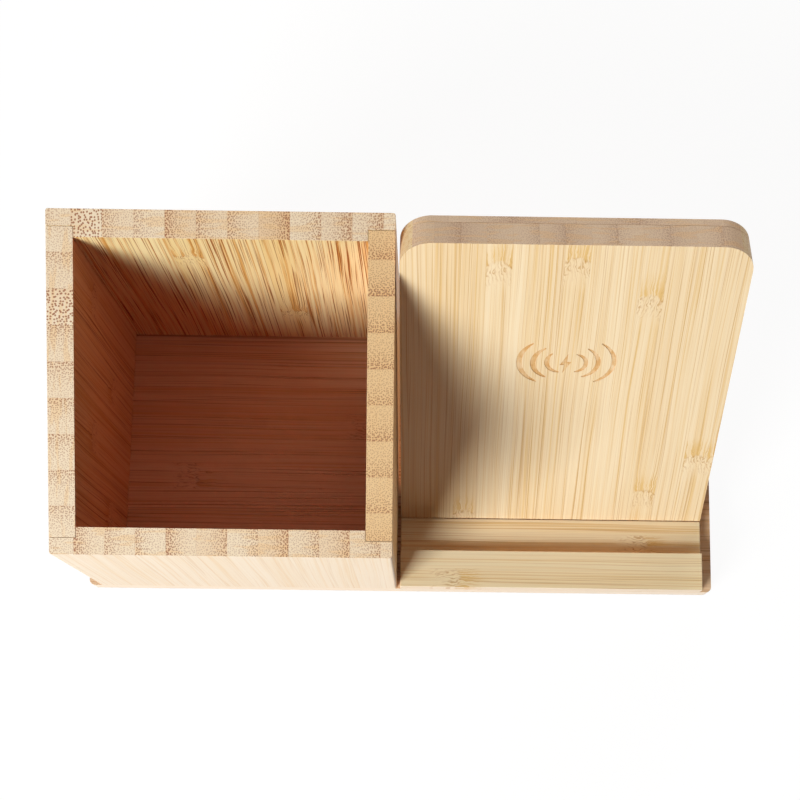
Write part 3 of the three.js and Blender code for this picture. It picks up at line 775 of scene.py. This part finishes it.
# How far the small parts' edges are rounded in millimetres, and the share at each end that is
# soldered metal
smallParts = {
    "foot": {"round": 0.3},
    "wall_screw": {"round": 0.06},
    "board_screw": {"round": 0.06},
    "panel_screw": {"round": 0.05},
    "coil_winding": {"round": 0.1},
    "ferrite_sheet": {"round": 0.1},
    "coil_thermistor": {"round": 0.15, "ends": 0.2},
    "circuit_board": {"round": 0.08},
    "controller_chip": {"round": 0.08},
    "bridge_chip": {"round": 0.08},
    "capacitor": {"round": 0.1, "ends": 0.2},
    "inductor": {"round": 0.25},
    "status_led": {"round": 0.1, "ends": 0.15},
    "light_pipe": {"round": 0.1},
    "usb_shell": {"round": 0.1},
    "usb_tongue": {"round": 0.08},
    "port_bezel": {"round": 0.25},
}


def windingMaterial(name):
    # enamelled wire in turns about the coil's middle
    look = {"pitch": 0.65, "colour": (0.80, 0.38, 0.18), "dark": (0.30, 0.10, 0.04)}
    material, shader = newMaterial(name)
    low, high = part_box("ferrite_sheet")
    middle = (low + high) / 2
    x, y = shader.place(toRight, rise)
    x = x - middle.x / mm
    y = y - middle.dot(rise) / mm
    reach = x.reach(y)
    turn = (reach / look["pitch"]).fraction() - 0.5
    crown = (1 - turn * turn * 4).most(0)
    speck = shader.noise(x * 2, y * 2, reach, 3)
    # the turns are dark between their crowns: painted shade in the grooves between the wires
    colour = crown.step(0.1, 0.7).blend(look["dark"], look["colour"])
    shader.principled({
        "Base Color": (speck.step(0.35, 0.7) * 0.3).blend(colour, look["dark"]),
        "Roughness": 0.22 + speck * 0.2,
        "Metallic": 1.0,
        "Normal": shader.bump(crown, 0.6, 0.15 * mm),
    })
    return material


def circuitMaterial(name):
    # solder mask over tracks that step between a few courses, with tinned holes in a loose grid,
    # their bores painted near-black as shade
    look = {
        "colour": (0.012, 0.13, 0.055), "dark": (0.006, 0.07, 0.03), "track": (0.05, 0.30, 0.13),
        "tin": (0.62, 0.60, 0.55), "paintedHoleShade": (0.01, 0.01, 0.01),
        "course": (6, 2.5),  # a straight run's length and width
        "courses": 8,
        "shift": 0.35,  # from one course to the next
        "pitch": 0.9,  # from track to track
        "holes": (3.1, 2.9),  # from hole to hole
        "bore": (0.06, 0.08),  # as shares of that
        "ring": (0.13, 0.15),
    }
    material, shader = newMaterial(name)
    x, y, z = shader.place(toRight, rise, into)
    runLength, runWidth = look["course"]
    run = shader.noise((x / runLength).floor() * 3.7, (y / runWidth).floor() * 1.9, 4.5, 1)
    shifted = y + (run * look["courses"]).floor() * look["shift"]
    track = 1 - ((shifted / look["pitch"]).fraction() - 0.5).size().step(0.16, 0.24)
    zone = shader.noise(x * 0.09, y * 0.12, 2.5, 1).step(0.42, 0.5)
    hole = shader.cells(x / look["holes"][0], y / look["holes"][1])
    outOfBore = hole.step(*look["bore"])
    ring = (1 - hole.step(*look["ring"])) * outOfBore
    bore = 1 - outOfBore
    speck = shader.noise(x * 3, y * 3, z * 3, 3)
    colour = (track * zone * 0.5).blend(look["colour"], look["track"])
    colour = (speck.step(0.3, 0.75) * 0.3).blend(colour, look["dark"])
    # the bores' near-black is painted shade
    colour = bore.blend(ring.blend(colour, look["tin"]), look["paintedHoleShade"])
    shader.principled({
        "Base Color": colour,
        "Roughness": 0.3 + speck * 0.15,
        "Metallic": ring * 0.9,
        "Normal": shader.bump(track * zone + ring - bore, 0.5, 0.03 * mm),
    })
    return material


def chipMaterial(name, node):
    # moulded resin with a row of tinned pads at the foot of its sides and a dimple at one corner
    look = {
        **finishes["chip_resin"],
        "tin": (0.66, 0.66, 0.68),
        "foot": boardFoot.dot(into) / mm + 3.2,  # the circuit board's upper face
        "padPitch": 0.5,
        "padWidth": (0.2, 0.28),  # half of it, as shares of the pitch
        "padDepth": (0.25, 0.2),
        "padHeight": (0.2, 0.24),
        "padCorner": (0.6, 0.5),  # how far the pads stay from a corner
        "dimple": (0.22, 0.3),
        "dimplePlace": 0.7,  # as a share of half the chip
    }
    material, shader = newMaterial(name)
    low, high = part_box(node)
    middle = (low + high) / 2
    half = (high.x - low.x) / mm / 2
    x, y, z = shader.place(toRight, rise, into)
    x = x - middle.x / mm
    y = y - middle.dot(rise) / mm
    z = z - look["foot"]
    farther = x.size().most(y.size())
    nearer = x.size().least(y.size())
    outer = farther.step(*(half - depth for depth in look["padDepth"]))
    corner = nearer.step(*(half - gap for gap in look["padCorner"]))
    between = ((nearer / look["padPitch"]).fraction() - 0.5).size().step(*look["padWidth"])
    pad = (1 - between) * outer * (1 - corner) * (1 - z.step(*look["padHeight"]))
    fromCorner = half * look["dimplePlace"]
    dimple = 1 - (x + fromCorner).reach(y - fromCorner).step(*look["dimple"])
    speck = shader.noise(x * look["grain"], y * look["grain"], z * look["grain"], 3)
    resin = speck.step(0.3, 0.75).blend(look["dark"], look["colour"])
    shader.principled({
        "Base Color": pad.blend(resin, look["tin"]),
        "Roughness": look["roughness"] + (speck - 0.5) * 0.2 - dimple * 0.2,
        "Metallic": pad * 0.95,
        "Normal": shader.bump(speck * 0.1 - dimple, 0.6, 0.06 * mm),
    })
    return material


def capEnds(piece, share):
    # the two ends across the board become faces of the second material
    xs = [vert.co.x for vert in piece.verts]
    cap = share * (max(xs) - min(xs))
    first = min(xs) + cap
    last = max(xs) - cap
    for place in (first, last):
        everything = [*piece.verts, *piece.edges, *piece.faces]
        bmesh.ops.bisect_plane(piece, geom=everything, dist=0.0001 * mm,
                               plane_co=(place, 0, 0), plane_no=toRight)
    for face in piece.faces:
        face.material_index = 0 if first < face.calc_center_median().x < last else 1


def makeSmallParts():
    slots = {part["node"]: part["material_slot"] for part in frame["record"]["subparts"]}
    materials = {slot: surfaceMaterial(slot, look) for slot, look in finishes.items()}
    for node in frame["nodes"]:
        kind = node.rstrip("0123456789_")
        if kind not in smallParts:
            continue
        look = smallParts[kind]
        piece = mergedCopy(node)
        roundEdges(piece, look["round"], lambda edge: True, 2)
        if kind == "coil_winding":
            dress = [windingMaterial("copper_turns")]
        elif kind == "circuit_board":
            dress = [circuitMaterial("circuit_tracks")]
        elif kind.endswith("chip"):
            dress = [chipMaterial(node + "_resin", node)]
        else:
            dress = [materials[slots[node]]]
        if "ends" in look:
            capEnds(piece, look["ends"])
            dress.append(materials["solder"])
        addPiece(piece, node + "_part", dress, node)
    print("small parts made")


def seenRays(shader):
    path = shader.add("LightPath", None, None, "Is Camera Ray")
    return path.most(path.also("Is Glossy Ray")).most(path.also("Is Transmission Ray"))


def makeFloor():
    # "white" is how far the floor is plain white to the eye: the rest shows the object's shadow,
    # which fades out between the two distances of "fade"
    look = {
        "size": 6000,  # millimetres, as the two below
        "drop": 0.05,
        "fade": (350, 1000),
        "colour": (0.85, 0.85, 0.84),
        "thrown": (0.50, 0.32, 0.26),  # its colour in the light that it throws on the object
        "white": 0.9,
        "glow": 1.05,
    }
    floor = bmesh.new()
    bmesh.ops.create_grid(floor, x_segments=1, y_segments=1, size=look["size"] * mm / 2)
    bmesh.ops.translate(floor, verts=floor.verts, vec=(0, 0, -look["drop"] * mm))
    mesh = bpy.data.meshes.new("floor")
    floor.to_mesh(mesh)
    floor.free()
    made = bpy.data.objects.new("floor", mesh)
    scene.collection.objects.link(made)
    material, shader = newMaterial("floor")
    scattered = shader.add("LightPath", None, None, "Is Diffuse Ray")
    colour = scattered.blend(look["colour"], look["thrown"])
    matteInputs = {"Base Color": colour, "Roughness": 1.0, "Specular IOR Level": 0.0}
    matte = shader.add("BsdfPrincipled", None, matteInputs)
    white = shader.add("Emission", None, {"Color": (1, 1, 1), "Strength": look["glow"]})
    x, y = shader.place(toRight, toBack)
    share = look["white"] + x.reach(y).step(*look["fade"]) * (1 - look["white"])
    both = shader.add("MixShader", None, {0: seenRays(shader) * share, 1: matte, 2: white})
    shader.add("OutputMaterial", None, {"Surface": both})
    mesh.materials.append(material)
    print("floor laid")


def makeSky():
    # white to the eye, and only a dim warm light on the object
    look = {"dim": (1.0, 0.7, 0.5), "level": 0.02}
    sky = bpy.data.worlds.new("world")
    scene.world = sky
    sky.use_nodes = True
    shader = Shader(sky.node_tree)
    dim = shader.add("Background", None, {"Color": look["dim"], "Strength": look["level"]})
    bright = shader.add("Background", None, {"Color": (1, 1, 1), "Strength": 1.0})
    both = shader.add("MixShader", None, {0: seenRays(shader), 1: dim, 2: bright})
    shader.add("OutputWorld", None, {"Surface": both})
    print("sky set")


def makeLamps():
    # azimuth from +X towards +Y and elevation in degrees, distance and sides in metres; level is
    # how brightly the lamp alone lights a white surface that faces it
    lamps = {
        "key": {"azimuth": 229, "elevation": 29, "distance": 1.6, "sides": (0.76, 0.82),
                "level": 1.25, "colour": (1.0, 1.0, 1.0)},
        "back": {"azimuth": 80, "elevation": 9, "distance": 1.6, "sides": (0.9, 0.4),
                 "level": 0.62, "colour": (1.0, 0.9, 0.8)},
    }
    middle = (cadBounds[0] + cadBounds[1]) / 2
    for name, lamp in lamps.items():
        data = bpy.data.lights.new(name, "AREA")
        data.shape = "RECTANGLE"
        data.size, data.size_y = lamp["sides"]
        data.energy = lamp["level"] * pi * pi * lamp["distance"] ** 2
        data.color = lamp["colour"]
        turn = radians(lamp["azimuth"])
        tilt = radians(lamp["elevation"])
        away = Vector((cos(turn) * cos(tilt), sin(turn) * cos(tilt), sin(tilt)))
        made = bpy.data.objects.new(name, data)
        made.location = middle + away * lamp["distance"]
        made.rotation_mode = "QUATERNION"
        made.rotation_quaternion = (-away).to_track_quat("-Z", "Y")
        made.visible_camera = False
        scene.collection.objects.link(made)
    print("lamps hung")


def makeCamera():
    look = {
        "eye": (8.2, -93.4, 499.0),  # millimetres
        "aim": (12.31, 9.68, 8.4),
        "roll": 3.0,  # degrees
        "lens": 76.77,
        "sensor": 36,
        "shift": (-0.0569, 0.0231),
        "nearest": 10,  # what it sees begins here, in millimetres
    }
    data = bpy.data.cameras.new("camera")
    data.lens = look["lens"]
    data.sensor_width = look["sensor"]
    data.shift_x, data.shift_y = look["shift"]
    data.clip_start = look["nearest"] * mm
    camera = bpy.data.objects.new("camera", data)
    eye = Vector(look["eye"]) * mm
    turn = (Vector(look["aim"]) * mm - eye).to_track_quat("-Z", "Y")
    camera.location = eye
    camera.rotation_mode = "QUATERNION"
    camera.rotation_quaternion = turn @ Quaternion(up, radians(look["roll"]))
    scene.collection.objects.link(camera)
    scene.camera = camera
    print("camera set")


scene.view_settings.view_transform = "Standard"
makeCamera()
makeFloor()
makeSky()
makeLamps()
makeBase()
makeCup()
makeLedge()
makeBoard()
makeSmallParts()
